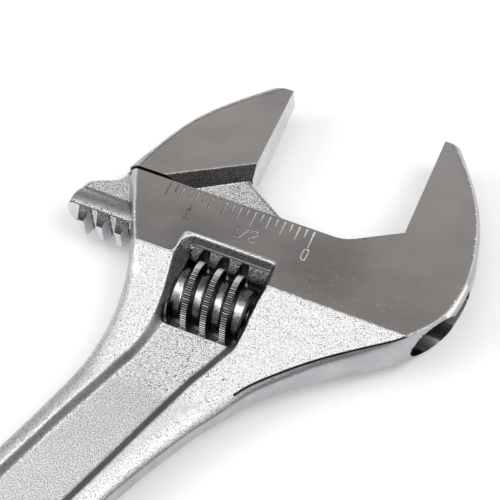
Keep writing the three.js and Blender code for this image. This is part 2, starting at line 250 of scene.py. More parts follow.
def hanging_hole(x, y, top):
    """The hole near the handle's end, flared at both faces. top is the height above the nearer face."""
    hole_x, hole_y = on_handle(HANDLE_LENGTH - END_RADIUS - 0.5, HANDLE_T)
    return np.hypot(x - hole_x, y - hole_y) - HOLE_RADIUS - HOLE_FLARE * np.clip(top + HOLE_FLARE, 0, 2)


def pin_bore(x, y, z):
    """The stepped bore for the worm's pin and the pin's head."""
    from_axis = np.hypot(y - WORM_Y, z)
    shank = np.maximum(from_axis - PIN_BORE_RADIUS, x - PIN_BORE_END)
    head = np.maximum(from_axis - HEAD_BORE_RADIUS, x - HEAD_BORE_END)
    return np.minimum(shank, head)


def body_field(x, y, z):
    side, top = body_walls(x, y, z)
    below_ground = smooth_step((GROUND_END - 1 - y) / 6)
    left_of_head = smooth_step((-8 - x - 0.3 * y) / 12)
    solid = smooth_max(side, top, 0.05 + 2.2 * below_ground * left_of_head)
    solid = np.maximum(solid, y - TIP_Y)
    solid = np.maximum(solid, x * math.sin(HEAD_ANGLE) + y * math.cos(HEAD_ANGLE) - NOSE_REACH)
    solid = np.maximum(solid, -jaw_opening(x, y))
    solid = np.maximum(solid, -slide_channel(x, y, z))
    solid = smooth_max(solid, -worm_window(x, y, z), 0.25)
    solid = np.maximum(solid, -hanging_hole(x, y, top))
    return np.maximum(solid, -pin_bore(x, y, z))


# ---- movable jaw ----
JAW_EDGE = [(MOVING_FACE + 5, 34), (-19.2, 34), *spline([
    (-18.7, 30.4), (-20.1, 29.4), (-21.8, 28.0), (-25.1, 24.9), (-28.3, 21.7), (-31.4, 18.2),
    (-34.2, 14.15), (-36.6, 9.5), (-38.4, 5), (-39.5, 1), (-40.2, -2)]), (MOVING_FACE + 5, -2)]
NECK_LEFT = [(0, -11), (-49.7, -11), *spline([
    (-49.6, -6.2), (-49.0, -4.9), (-47.3, -4.0), (-44.2, -2.75), (-42.8, -1.7), (-42.1, 0.1),
    (-40.5, 3)]), (-30, 14), (0, 14)]
STEP_CORNER = -33.7
STEP_DROP = 2.4  # how far the step's wall slopes down from the side face to the neck
LEDGE_Y = 0.75
NECK_TOP = (-18.65, 7.0)  # where the neck's right edge would meet the jaw face
NECK_END = -8.3
NECK_ROUND = 0.9
BAR_LEFT, BAR_RIGHT = -49.65, -3.6
BAR_DOME = 1.3
TOOTH_TIP, TOOTH_ROOT = -14.4, -11.8
TOOTH_TIP_HALF = 0.65
FIRST_TOOTH, LAST_TOOTH = -7, 2
WORM_REACH = 8  # the radius at which the teeth lean as the thread does


def jaw_blade(x, y, z):
    """The thick part with the jaw face, ending below in a sloping step down to the neck."""
    height = np.abs(z)
    half = ground_half(y)
    side = outline_distance(x, y, JAW_EDGE) - bulge(z, half) * (1 + 0.55 * smooth_step((8 - y) / 8))
    blade = np.maximum(np.maximum(side, height - half), x - MOVING_FACE)
    ledge = LEDGE_Y - y
    drop = STEP_DROP * np.clip((half - height) / (half - NECK_HALF), 0, 1)
    ramp = (LEDGE_Y + (x - STEP_CORNER) * SLOPE_30 - y - drop / math.cos(math.pi / 6)) * 0.72
    return np.maximum(np.maximum(blade, y - MOVING_TIP_Y), np.maximum(ledge, ramp))


def jaw_neck(x, y, z):
    """The thin plate between the blade and the bar. Its right edge is rounded."""
    height = np.abs(z)
    right = (y - NECK_TOP[1] + (x - NECK_TOP[0]) * SLOPE_30) * math.cos(math.pi / 6)
    right = right - NECK_ROUND * np.sqrt(np.clip(1 - (height / NECK_HALF) ** 2, 0, 1))
    right = np.maximum(right, x - NECK_END - NECK_ROUND)
    left = outline_distance(x, y, NECK_LEFT)
    return np.maximum(np.maximum(height - NECK_HALF, right), left)


def rack_bar(x, y, z):
    """The round bar with the rack's teeth cut across its lower side."""
    from_axis = np.hypot(y - BORE_Y, z)
    end = BAR_LEFT - x - BAR_DOME * np.clip(1 - (from_axis / BAR_RADIUS) ** 2, 0, 1)
    bar = smooth_max(from_axis - BAR_RADIUS, end, 0.8)
    bar = np.maximum(bar, x - BAR_RIGHT)
    bar = np.maximum(bar, TOOTH_TIP - y)
    along = x - CREST_X - z * PITCH / (2 * math.pi * WORM_REACH)
    tooth = np.clip(np.round(along / PITCH), FIRST_TOOTH, LAST_TOOTH)
    off = along - tooth * PITCH
    off = np.where((tooth == FIRST_TOOTH) & (off < 0), 0, np.abs(off))
    half_gap = PITCH / 2 - TOOTH_TIP_HALF - (y - TOOTH_TIP) * FLANK
    gap = smooth_max(off - half_gap, y - TOOTH_ROOT, 0.35)
    return np.maximum(bar, -gap)


def jaw_field(x, y, z):
    blade = jaw_blade(x, y, z)
    neck = jaw_neck(x, y, z)
    bar = rack_bar(x, y, z)
    return np.minimum(blade, smooth_min(neck, bar, 0.5))


# ---- meshing a distance field ----
def surface_points(field, low, high, f_low, f_high):
    """Where the field is zero on each grid edge, and the surface's normal there."""
    share = (f_low / (f_low - f_high))[:, None]
    a, b, fa, fb = low.copy(), high.copy(), f_low.copy(), f_high.copy()
    for _ in range(3):
        point = a + (b - a) * share
        f = field(*point.T)
        same = (f < 0) == (fa < 0)
        a[same], fa[same] = point[same], f[same]
        b[~same], fb[~same] = point[~same], f[~same]
        share = np.clip(fa / np.where(fa == fb, 1, fa - fb), 0.02, 0.98)[:, None]
    point = a + (b - a) * share
    return point, field_normal(field, point)


def field_normal(field, point, step=0.01):
    normal = np.empty_like(point)
    for axis in range(3):
        move = np.zeros(3)
        move[axis] = step
        normal[:, axis] = field(*(point + move).T) - field(*(point - move).T)
    length = np.linalg.norm(normal, axis=1, keepdims=True)
    return normal / np.maximum(length, 1e-12)


def mesh_field(field, xs, ys, zs):
    """Dual contouring: one vertex in each cell that the surface crosses, set on its creases."""
    grid = (np.asarray(xs, float), np.asarray(ys, float), np.asarray(zs, float))
    counts = np.array([len(g) for g in grid])
    values = field(grid[0][:, None, None], grid[1][None, :, None], grid[2][None, None, :])
    values = np.broadcast_to(values, counts)
    inside = values < 0
    cells = counts - 1
    gathered = []
    quads = []
    for axis in range(3):
        others = [(axis + 1) % 3, (axis + 2) % 3]
        first = [slice(None)] * 3
        second = [slice(None)] * 3
        first[axis], second[axis] = slice(None, -1), slice(1, None)
        where = np.argwhere(inside[tuple(first)] != inside[tuple(second)])
        after = where.copy()
        after[:, axis] += 1
        low = np.stack([grid[a][where[:, a]] for a in range(3)], 1)
        high = np.stack([grid[a][after[:, a]] for a in range(3)], 1)
        point, normal = surface_points(field, low, high, values[tuple(where.T)], values[tuple(after.T)])
        corners = []
        for da, db in ((1, 1), (0, 1), (0, 0), (1, 0)):
            cell = where.copy()
            cell[:, others[0]] -= da
            cell[:, others[1]] -= db
            corners.append((cell[:, 0] * cells[1] + cell[:, 1]) * cells[2] + cell[:, 2])
        corners = np.stack(corners, 1)
        outward = inside[tuple(where.T)]
        corners[~outward] = corners[~outward][:, ::-1]
        quads.append(corners)
        for c in corners.T:
            gathered.append((c, point, normal))
    ids = np.concatenate([g[0] for g in gathered])
    point = np.concatenate([g[1] for g in gathered])
    normal = np.concatenate([g[2] for g in gathered])
    used, slot = np.unique(ids, return_inverse=True)
    slot = slot.reshape(-1)
    vertices, crease = place_vertices(slot, len(used), point, normal)
    cell = np.stack([used // (cells[1] * cells[2]), used // cells[2] % cells[1], used % cells[2]], 1)
    low = np.stack([grid[a][cell[:, a]] for a in range(3)], 1)
    high = np.stack([grid[a][cell[:, a] + 1] for a in range(3)], 1)
    vertices = np.clip(vertices, low, high)
    quads = np.searchsorted(used, np.concatenate(quads))
    return vertices, split_quads(field, vertices, quads), crease


def place_vertices(slot, count, point, normal):
    """The point in each cell that best lies on all the tangent planes met on its edges."""
    def total(values):
        return np.bincount(slot, values, count)
    hits = total(np.ones(len(slot)))
    middle = np.stack([total(point[:, a]) for a in range(3)], 1) / hits[:, None]
    offset = (normal * (point - middle[slot])).sum(1)
    matrix = np.empty((count, 3, 3))
    for i in range(3):
        for j in range(3):
            matrix[:, i, j] = total(normal[:, i] * normal[:, j]) + (0.03 if i == j else 0)
    side = np.stack([total(normal[:, a] * offset) for a in range(3)], 1)
    mean = np.stack([total(normal[:, a]) for a in range(3)], 1) / hits[:, None]
    crease = np.clip((1 - np.linalg.norm(mean, axis=1)) * 5, 0, 1)
    return middle + np.linalg.solve(matrix, side[:, :, None])[:, :, 0], crease


def split_quads(field, vertices, quads):
    """Cuts each quad along the diagonal whose middle lies nearer the surface."""
    def miss(i, j):
        return np.abs(field(*((vertices[quads[:, i]] + vertices[quads[:, j]]) / 2).T))
    straight = miss(0, 2) <= miss(1, 3)
    q = np.where(straight[:, None], quads, np.roll(quads, -1, 1))
    return np.concatenate([q[:, [0, 1, 2]], q[:, [0, 2, 3]]])


def steps(*stops):
    """Grid lines from (place, spacing) stops: spacing holds from each place to the next."""
    lines = []
    for (low, spacing), (high, _) in zip(stops[:-1], stops[1:]):
        count = max(1, round((high - low) / spacing))
        lines.extend(low + (high - low) * i / count for i in range(count))
    lines.append(stops[-1][0])
    return np.array(lines)


def add_mesh(name, vertices, triangles, crease=None, sharp=32):
    """A mesh object in the row frame, smooth but for edges sharper than the angle."""
    mesh = bpy.data.meshes.new(name)
    triangles = np.asarray(triangles, np.int32)
    mesh.vertices.add(len(vertices))
    mesh.vertices.foreach_set("co", to_row(vertices).astype(np.float32).ravel())
    mesh.loops.add(triangles.size)
    mesh.loops.foreach_set("vertex_index", triangles.ravel())
    mesh.polygons.add(len(triangles))
    mesh.polygons.foreach_set("loop_start", np.arange(0, triangles.size, 3, dtype=np.int32))
    mesh.update(calc_edges=True)
    mesh.validate()
    mesh.polygons.foreach_set("use_smooth", np.ones(len(mesh.polygons), bool))
    mesh.set_sharp_from_angle(angle=math.radians(sharp))
    # The crease measure is kept for the painted edge highlight and the rubbed steel on edges.
    if crease is not None and len(mesh.vertices) == len(crease):
        edge = mesh.attributes.new("edge_wear_glint", "FLOAT", "POINT")
        edge.data.foreach_set("value", crease.astype(np.float32))
    obj = bpy.data.objects.new(name, mesh)
    bpy.context.scene.collection.objects.link(obj)
    return obj


def head_places(mesh):
    """Every vertex's place in the head frame."""
    places = np.empty(len(mesh.vertices) * 3, np.float32)
    mesh.vertices.foreach_get("co", places)
    return from_row(places.reshape(-1, 3))


def shade_from_field(obj, field, agree=0.9):
    """Gives each face corner that lies along the field's surface the field's own normal."""
    mesh = obj.data
    normals = to_row(field_normal(field, head_places(mesh), 0.03)) - to_row([(0, 0, 0)])
    normals /= np.linalg.norm(normals, axis=1, keepdims=True)
    corners = np.empty(len(mesh.loops), np.int32)
    mesh.loops.foreach_get("vertex_index", corners)
    facing = np.empty(len(mesh.polygons) * 3, np.float32)
    mesh.polygons.foreach_get("normal", facing)
    sizes = np.empty(len(mesh.polygons), np.int32)
    mesh.polygons.foreach_get("loop_total", sizes)
    shading = normals[corners]
    facing = np.repeat(facing.reshape(-1, 3), sizes, axis=0)
    shading[(shading * facing).sum(1) < agree] = 0
    mesh.normals_split_custom_set(shading.tolist())


def mark_edges(obj):
    """Stores each point's distance from the edge between wall and side face, and into the sunk panel."""
    mesh = obj.data
    x, y, z = head_places(mesh).T
    side, top = body_walls(x, y, z)
    rim = np.where(np.maximum(side, top) < -0.2, 5, side - top)
    for name, distance in (("rim_distance", rim), ("panel", -outline_distance(x, y, PANEL_EDGE))):
        layer = mesh.attributes.new(name, "FLOAT", "POINT")
        layer.data.foreach_set("value", np.clip(distance, -5, 5).astype(np.float32))


def build_body():
    grain = 1
    xs = steps((-100, 0.9 * grain), (-42, 0.45 * grain), (35, 1))
    ys = steps((-218, 0.9 * grain), (-52, 0.42 * grain), (31, 1))
    zs = steps((-7, 0.42 * grain), (7, 1))
    return add_mesh("wrench_body", *mesh_field(body_field, xs, ys, zs))


def build_jaw():
    grain = 1
    xs = steps((-51.5, 0.28 * grain), (-3, 1))
    ys = steps((-16, 0.28 * grain), (31, 1))
    zs = steps((-5.6, 0.28 * grain), (5.6, 1))
    return add_mesh("jaw", *mesh_field(jaw_field, xs, ys, zs))


# ---- worm, pin and spring ----
WORM_START, WORM_END = -21.4, -6.1
THREAD_RADIUS, THREAD_ROOT = 7.6, 5.75
THREAD_FLANK = (THREAD_RADIUS - THREAD_ROOT) * math.tan(math.radians(17))
CREST_HALF = 0.6
LAST_CREST = CREST_X + 2.85 * PITCH  # the thread runs out before the plain land at the right end
RIBS = 96  # in each turn of the crest
RIB_DEPTH = 0.24
FILLET = 0.6  # width of the hollow rise to the left of each thread
THREAD_START = 2.3  # the angle, in the first turn, where the thread's square-cut end stands
PIN_HOLE = 1.75
SPRING_POCKET = 3.0
POCKET_DEPTH = 5.2
LAND_EDGE = 0.35


def thread_radius(off, angle):
    """The worm's radius at a distance off the crest's middle along x, with the ribs across the crest."""
    out = np.clip((CREST_HALF + THREAD_FLANK - np.abs(off)) / THREAD_FLANK, 0, 1)
    height = (THREAD_RADIUS - THREAD_ROOT) * (0.75 * out + 0.25 * smooth_step(out))
    rib = (0.5 - 0.5 * math.cos(angle * RIBS)) * smooth_step((angle - THREAD_START - 0.35) / 0.2)
    crown = 0.05 * (off / CREST_HALF) ** 2 + RIB_DEPTH * rib
    return THREAD_ROOT + height - np.where(np.abs(off) < CREST_HALF * 1.05, crown, RIB_DEPTH * out * rib)


def ring(x, radius, count):
    """A ring of points round the worm's axis."""
    angle = 2 * np.pi * np.arange(count) / count
    return np.stack([np.full(count, float(x)), WORM_Y + radius * np.cos(angle), radius * np.sin(angle)], 1)


def lathe(name, profile, count, sharp=32):
    """A surface turned about the worm's axis from (x, radius) pairs. A radius of 0 closes an end."""
    rings = [ring(x, max(radius, 1e-4), count) for x, radius in profile]
    vertices = np.concatenate(rings)
    i = np.arange(count)
    j = (i + 1) % count
    triangles = []
    for k in range(len(rings) - 1):
        low, high = k * count, (k + 1) * count
        triangles.append(np.stack([low + i, high + i, high + j], 1))
        triangles.append(np.stack([low + i, high + j, low + j], 1))
    return add_mesh(name, vertices, np.concatenate(triangles), sharp=sharp)


def build_worm():
    """The thread as one helical surface, cut off square at both ends, on a core with lands and pockets."""
    sides = RIBS * 6
    half = CREST_HALF
    foot = -half - THREAD_FLANK
    offsets = np.array([foot - FILLET - 0.1, foot - FILLET, foot - 0.6 * FILLET, foot - 0.3 * FILLET,
                        foot - 0.1 * FILLET, foot, -half - 0.5 * THREAD_FLANK, -half,
                        -0.7 * half, -0.3 * half, 0.3 * half, 0.7 * half, half,
                        half + 0.5 * THREAD_FLANK, half + THREAD_FLANK, half + THREAD_FLANK + 0.25])
    rows = len(offsets)
    turns = 4
    angle = np.linspace(THREAD_START, 2 * np.pi * turns, sides * turns + 1)
    hollow = 0.5 * np.clip((offsets - foot + FILLET) / FILLET, 0, 1) ** 2.2 * (offsets <= foot)
    vertices = np.empty((len(angle), rows, 3))
    for i, a in enumerate(angle):
        middle = CREST_X - PITCH + a / (2 * np.pi) * PITCH
        fade = smooth_step((LAST_CREST - middle) / (0.3 * PITCH))
        radius = THREAD_ROOT + np.maximum(thread_radius(offsets, a) - THREAD_ROOT, hollow) * fade
        radius[[0, -1]] = THREAD_ROOT - 0.3
        x = middle + offsets
        vertices[i] = np.stack([x, WORM_Y + radius * math.cos(a), radius * math.sin(a)], 1)
    i, j = np.meshgrid(np.arange(len(angle) - 1), np.arange(rows - 1), indexing="ij")
    a, b = (i * rows + j).ravel(), (i * rows + j + 1).ravel()
    c, d = b + rows, a + rows
    cap = np.arange(1, rows - 1)
    start = np.stack([np.zeros_like(cap), cap + 1, cap], 1)
    triangles = np.concatenate([np.stack([a, d, c], 1), np.stack([a, c, b], 1), start[:, ::-1]])
    thread = add_mesh("worm_thread", vertices.reshape(-1, 3), triangles)
    cut_ends(thread)
    rim = THREAD_ROOT - LAND_EDGE
    pocket_floor = WORM_END - POCKET_DEPTH
    core = lathe("worm_core", [
        (WORM_START + 4, PIN_HOLE), (WORM_START + 0.3, PIN_HOLE), (WORM_START, PIN_HOLE + 0.3),
        (WORM_START, rim), (WORM_START + LAND_EDGE, THREAD_ROOT), (WORM_END - LAND_EDGE, THREAD_ROOT),
        (WORM_END, rim), (WORM_END, SPRING_POCKET + 0.25), (WORM_END - 0.25, SPRING_POCKET),
        (pocket_floor, SPRING_POCKET), (pocket_floor, PIN_HOLE), (WORM_START + 4, PIN_HOLE)], 192)
    return thread, core


def cut_ends(obj):
    """Cuts the thread off flush with the worm's end faces and closes the cuts."""
    shape = bmesh.new()
    shape.from_mesh(obj.data)
    across = Vector(to_row([(1, 0, 0)])[0] - to_row([(0, 0, 0)])[0]).normalized()
    for x, way in ((WORM_START, -1), (WORM_END, 1)):
        place = Vector(to_row([(x, 0, 0)])[0])
        geometry = shape.verts[:] + shape.edges[:] + shape.faces[:]
        cut = bmesh.ops.bisect_plane(shape, geom=geometry, dist=1e-7, plane_co=place,
                                     plane_no=across * way, clear_outer=True)
        rim = [e for e in cut["geom_cut"] if isinstance(e, bmesh.types.BMEdge)]
        bmesh.ops.holes_fill(shape, edges=rim, sides=0)
    shape.to_mesh(obj.data)
    shape.free()
    obj.data.set_sharp_from_angle(angle=math.radians(32))


def build_pin():
    """The pin with its wider head, which is dished at the driver's end."""
    return lathe("pin", [
        (-31.1, 0), (-31.1, 1.9), (-31.45, 1.9), (-31.9, 1.9), (-32, 1.95), (-31.85, 2.3),
        (-29.25, 2.3), (-29.05, 2.1), (-29.05, 1.45), (1.8, 1.45), (2.15, 1.1), (2.15, 0)], 96)


def build_spring():
    """A coil of round wire about the pin, in the worm's pocket."""
    turns = 4.5
    wire, radius = 0.33, 2.3
    low, high = WORM_END - 4.6, WORM_END + 0.3
    count, sides = 24 * 5, 14
    vertices = []
    for t in np.linspace(0, 1, count):
        a = t * turns * 2 * math.pi
        x = low + (high - low) * t
        for k in range(sides):
            w = 2 * math.pi * k / sides
            r = radius + wire * math.cos(w)
            vertices.append((x + wire * math.sin(w), WORM_Y + r * math.cos(a), r * math.sin(a)))
    triangles = []
    for i in range(count - 1):
        for k in range(sides):
            a, b = i * sides + k, i * sides + (k + 1) % sides
            triangles += [(a, a + sides, b + sides), (a, b + sides, b)]
    for k in range(1, sides - 1):
        last = (count - 1) * sides
        triangles += [(0, k, k + 1), (last, last + k + 1, last + k)]
    return add_mesh("spring", vertices, triangles)


# ---- engraved scale ----
TICK = 25.4 / 16  # a sixteenth of an inch
SCALE_ZERO = 0.15
LAST_TICK = 20
TICK_TOP = -0.55
DIGIT_FOOT = -7.4
DIGIT_HEIGHT = 2.6


def tick_length(number):
    if number % 8 == 0:
        return 3.75
    return 3.0 if number % 2 == 0 else 1.75


def arc(centre, radii, start, end, steps):
    """Points along part of an ellipse, between two angles in degrees."""
    angles = [math.radians(start + (end - start) * i / steps) for i in range(steps + 1)]
    return [(centre[0] + radii[0] * math.cos(a), centre[1] + radii[1] * math.sin(a)) for a in angles]


def digit_strokes(digit):
    """The strokes of one character, with its foot's middle at (0, 0)."""
    top = DIGIT_HEIGHT
    if digit == "0":
        upper = arc((0, top - 0.62), (0.52, 0.62), 0, 180, 10)
        lower = arc((0, 0.62), (0.52, 0.62), 180, 360, 10)
        return [upper + lower + upper[:1]]
    if digit == "1":
        return [[(-0.42, top - 0.5), (-0.12, top - 0.2), (0, top), (0, 0.42)], [(-0.42, 0), (0.42, 0)]]
    if digit == "/":
        return [[(-0.66, 0), (0.66, top)]]
    return [arc((0, top - 0.72), (0.72, 0.72), 165, 20, 10) + arc((0, top - 0.72), (0.72, 0.72), 0, -35, 3)
            + [(-0.3, 0.95), (-0.72, 0.45), (-0.74, 0), (0.8, 0)]]


def scale_strokes():
    """Every engraved line on the side face, as (path, half width)."""
    strokes = []
    for number in range(LAST_TICK + 1):
        x = SCALE_ZERO - number * TICK
        worn = 0.25 if number <= 18 else 0.17
        strokes.append(([(x, TICK_TOP), (x, TICK_TOP - tick_length(number))], worn))
    words = (("0", 0.17), ("1", -14.55), ("/", -12.9), ("2", -10.95), ("1", -25.4))
    for digit, x in words:
        for stroke in digit_strokes(digit):
            strokes.append(([(x + p, DIGIT_FOOT + q) for p, q in stroke], 0.21))
    return strokes


def groove(path, radius, sides=10):
    """A closed round rod along a path on the ground face, with domed ends unless it is a ring."""
    points = np.array(path, float)
    ring_shaped = np.allclose(points[0], points[-1])
    if ring_shaped:
        points = points[:-1]
        ahead = np.roll(points, -1, 0) - np.roll(points, 1, 0)
    else:
        ahead = np.gradient(points, axis=0)
    ahead /= np.linalg.norm(ahead, axis=1, keepdims=True)
    stations = [(p, a, radius) for p, a in zip(points, ahead)]
    if not ring_shaped:
        domes = [(math.sin(math.radians(t)), math.cos(math.radians(t))) for t in (80, 55, 28)]
        start = [(points[0] - ahead[0] * radius * out, ahead[0], radius * width) for out, width in domes]
        end = [(points[-1] + ahead[-1] * radius * out, ahead[-1], radius * width) for out, width in domes]
        stations = start + stations + end[::-1]
    vertices = []
    for (px, py), (ax, ay), size in stations:
        middle = ground_half(py) + 0.22 * radius
        for i in range(sides):
            turn = 2 * math.pi * i / sides
            across, up = size * math.cos(turn), size * math.sin(turn)
            vertices.append((px - ay * across, py + ax * across, middle + up))
    count = len(stations)
    faces = []
    for k in range(count if ring_shaped else count - 1):
        low, high = k * sides, (k + 1) % count * sides
        for i in range(sides):
            j = (i + 1) % sides
            faces.append((low + i, low + j, high + j, high + i))
    if not ring_shaped:
        faces.append(tuple(range(sides - 1, -1, -1)))
        faces.append(tuple(range((count - 1) * sides, count * sides)))
    return vertices, faces


def engrave_scale(piece):
    """Cuts the scale's ticks and numbers into the body's side face."""
    vertices, faces = [], []
    for path, half_width in scale_strokes():
        more, rings = groove(path, half_width)
        faces += [tuple(i + len(vertices) for i in face) for face in rings]
        vertices += more
    mesh = bpy.data.meshes.new("scale_cutter")
    mesh.from_pydata(to_row(vertices).tolist(), [], faces)
    cutter = bpy.data.objects.new("scale_cutter", mesh)
    bpy.context.scene.collection.objects.link(cutter)
    cut = piece.modifiers.new("scale", "BOOLEAN")
    cut.object = cutter
    cut.operation = "DIFFERENCE"
    cut.solver = "MANIFOLD"
    shown = piece.evaluated_get(bpy.context.evaluated_depsgraph_get())
    engraved = bpy.data.meshes.new_from_object(shown)
    piece.modifiers.clear()
    engraved.materials.clear()
    engraved.polygons.foreach_set("material_index", np.zeros(len(engraved.polygons), np.int32))
    engraved.set_sharp_from_angle(angle=math.radians(32))
    piece.data = engraved
    bpy.data.objects.remove(cutter)


# ---- materials ----
TURN = HEAD_ANGLE - math.pi / 2
ALONG = (math.cos(TURN), math.sin(TURN), 0)  # the head frame's x and y directions in the row frame
UPWARD = (-math.sin(TURN), math.cos(TURN), 0)
RUBBED_GLINT = (0.86, 0.85, 0.84)  # bare steel on a rubbed edge, which also stands in for the painted highlight that edges catch
WINDOW_ZONE = (-15.4, -22)  # the middle of the box that holds all the walls of the worm's window
ZONE_HALF = (11.7, 12.3)


class Look:
    """One material's node tree, with the head frame's coordinates in mm and short calls for its nodes."""

    def __init__(self, name):
        self.material = bpy.data.materials.new(name)
        self.material.use_nodes = True
        self.tree = self.material.node_tree
        self.shader = self.tree.nodes["Principled BSDF"]
        source = self.node("TexCoord")
        place = self.node("Mapping", vector_type="TEXTURE", Vector=source.outputs["Object"],
                          Location=[v / 1000 for v in ORIGIN], Rotation=(0, 0, TURN), Scale=(0.001,) * 3)
        facing = self.node("Mapping", vector_type="POINT", Vector=source.outputs["Normal"],
                           Rotation=(0, 0, -TURN))
        self.place = place.outputs[0]
        self.x, self.y, self.z = self.node("SeparateXYZ", Vector=self.place).outputs
        self.nx, self.ny, self.nz = self.node("SeparateXYZ", Vector=facing.outputs[0]).outputs

    def node(self, kind, **values):
        """Adds a node. Each value is one of its properties, or one of its inputs: a constant or a socket."""
        node = self.tree.nodes.new("ShaderNode" + kind)
        for name, value in values.items():
            if not name[0].isupper():
                setattr(node, name, value)
            elif isinstance(value, bpy.types.NodeSocket):
                self.tree.links.new(value, node.inputs[name.replace("_", " ")])
            else:
                node.inputs[name.replace("_", " ")].default_value = value
        return node

    def math(self, operation, *values):
        node = self.tree.nodes.new("ShaderNodeMath")
        node.operation = operation
        for socket, value in zip(node.inputs, values):
            if isinstance(value, bpy.types.NodeSocket):
                self.tree.links.new(value, socket)
            else:
                socket.default_value = value
        return node.outputs[0]

    def chain(self, operation, values):
        """The operation over two or more values, from the first on."""
        total = values[0]
        for value in values[1:]:
            total = self.math(operation, total, value)
        return total

    def times(self, *values):
        return self.chain("MULTIPLY", values)

    def most(self, *values):
        return self.chain("MAXIMUM", values)

    def least(self, *values):
        return self.chain("MINIMUM", values)

    def minus(self, a, b):
        return self.math("SUBTRACT", a, b)

    def times_plus(self, a, b, c):
        return self.math("MULTIPLY_ADD", a, b, c)

    def size(self, value):
        return self.math("ABSOLUTE", value)

    def stored(self, name):
        """A number stored on the mesh's points."""
        return self.node("Attribute", attribute_name=name).outputs["Fac"]

    def noise(self, scale, detail=2.0, vector=None):
        """Noise with so many waves per mm, from 0 to 1."""
        node = self.node("TexNoise", Vector=vector or self.place, Scale=scale, Detail=detail)
        return node.outputs["Fac"]

    def spread(self, value, low, high, start=0.0, end=1.0):
        """Maps low..high to start..end, and holds the ends."""
        return self.node("MapRange", Value=value, From_Min=low, From_Max=high,
                         To_Min=start, To_Max=end).outputs[0]

    def mix(self, share, first, second):
        """A blend of two colours. Each is a colour or a socket."""
        def colour(value):
            return value if isinstance(value, bpy.types.NodeSocket) else (*value, 1)
        return self.node("MixRGB", Fac=share, Color1=colour(first), Color2=colour(second)).outputs[0]

    def tinted(self, colour, tone):
        """The colour times a number."""
        grey = self.node("CombineColor", Red=tone, Green=tone, Blue=tone).outputs[0]
        return self.node("MixRGB", blend_type="MULTIPLY", Fac=1.0, Color1=colour, Color2=grey).outputs[0]

    def blend(self, share, first, second):
        """A blend of two numbers."""
        return self.times_plus(self.minus(second, first), share, first)

    def distance_to(self, x, y, z):
        """Distance in mm from a point of the head frame, where None leaves a direction out."""
        total = None
        for here, there in ((self.x, x), (self.y, y), (self.z, z)):
            if there is not None:
                offset = self.minus(here, there)
                square = self.times(offset, offset)
                total = square if total is None else self.math("ADD", total, square)
        return self.math("SQRT", total)

    def finish(self, colour, rough, height_mm):
        """Links a metal's colour, roughness and surface height."""
        bump = self.node("Bump", Height=height_mm, Strength=1.0, Distance=0.001)
        self.tree.links.new(colour, self.shader.inputs["Base Color"])
        self.tree.links.new(rough, self.shader.inputs["Roughness"])
        self.tree.links.new(bump.outputs[0], self.shader.inputs["Normal"])
        self.shader.inputs["Metallic"].default_value = 1
        return self.material


# Each finish below returns a colour, a roughness and a height in mm.
def granular(look, light=(0.80, 0.80, 0.80), dark=(0.08, 0.08, 0.085), pitted=0.0):
    """Blasted and plated forging skin: bright grains with small dark pits."""
    fine = look.noise(5.0, 1)
    grit = look.noise(8.0, 0)
    cloud = look.noise(0.12, 2)
    pits = look.spread(look.times_plus(pitted, -0.05, fine), 0.335, 0.445)
    tone = look.times(look.spread(cloud, 0.35, 0.65, 0.93, 1.0), look.spread(grit, 0.3, 0.7, 0.82, 1.12))
    colour = look.tinted(look.mix(pits, dark, light), tone)
    rough = look.spread(cloud, 0.3, 0.7, 0.42, 0.52)
    height = look.times_plus(fine, 0.05, look.times(grit, 0.012))
    return colour, rough, height


def shaded_granular(look):
    """Forging skin painted almost black, as painted shade for walls that lie in shadow."""
    return granular(look, (0.10,) * 3, (0.006,) * 3, 0.9)


def ground_steel(look, centre, angle):
    """A belt-ground face: fine lines along arcs about a centre, with cloudy brown and grey patches, a painted
    sheen brightening towards the jaw tips and a darker spot near the scale's zero.
    """
    wander = look.noise(0.06, 1)
    radius = look.times_plus(wander, 5.0, look.distance_to(*centre, None))
    run = look.math("ADD", look.times(look.x, math.cos(angle)), look.times(look.y, math.sin(angle)))

    def lines(across, along):
        place = look.node("CombineXYZ", X=look.times(radius, across), Y=look.times(run, along),
                          Z=look.math("SIGN", look.z))
        return look.noise(1.0, 2, place.outputs[0])

    fine = lines(6.0, 0.25)
    broad = lines(1.3, 0.06)
    patch = look.noise(0.055, 2)
    warm = look.spread(look.noise(0.09, 1), 0.35, 0.65)
    colour = look.mix(warm, (0.455, 0.435, 0.43), (0.50, 0.455, 0.43))
    colour = look.mix(look.spread(patch, 0.42, 0.30, 0, 0.55), colour, (0.26, 0.26, 0.265))
    streak = look.times_plus(fine, 0.36, look.times(broad, 0.3))
    # Painted sheen: the ground face is brighter towards the jaw tips.
    sheen_towards_tips = look.spread(look.y, -12, 24, 0.78, 1.55)
    # Darker round a spot near the scale's zero.
    dim_near_zero = look.spread(look.distance_to(4.5, -6.5, None), 4, 11, 0.78, 1)
    tone = look.times(look.spread(streak, 0.22, 0.44, 0.84, 1.16), sheen_towards_tips, dim_near_zero)
    colour = look.tinted(colour, tone)
    worn = look.spread(look.noise(0.07, 1), 0.52, 0.6)
    scratch = look.times(look.spread(look.noise(1.9, 3), 0.62, 0.68, 0, 0.5), worn)
    colour = look.mix(scratch, colour, (0.66, 0.64, 0.62))
    rough = look.spread(streak, 0.22, 0.44, 0.40, 0.28)
    height = look.times_plus(fine, 0.006, look.times(patch, 0.25))
    return colour, rough, height


def milled(look, tone):
    """A smooth satin face of plated steel."""
    drift = look.noise(0.25, 3)
    fine = look.noise(3.0, 2)
    colour = look.mix(look.spread(drift, 0.35, 0.65), [v * tone for v in (0.60, 0.61, 0.64)],
                      [v * tone for v in (0.70, 0.71, 0.73)])
    rough = look.spread(fine, 0.3, 0.7, 0.24, 0.34)
    height = look.times_plus(fine, 0.004, look.times(drift, 0.05))
    return colour, rough, height


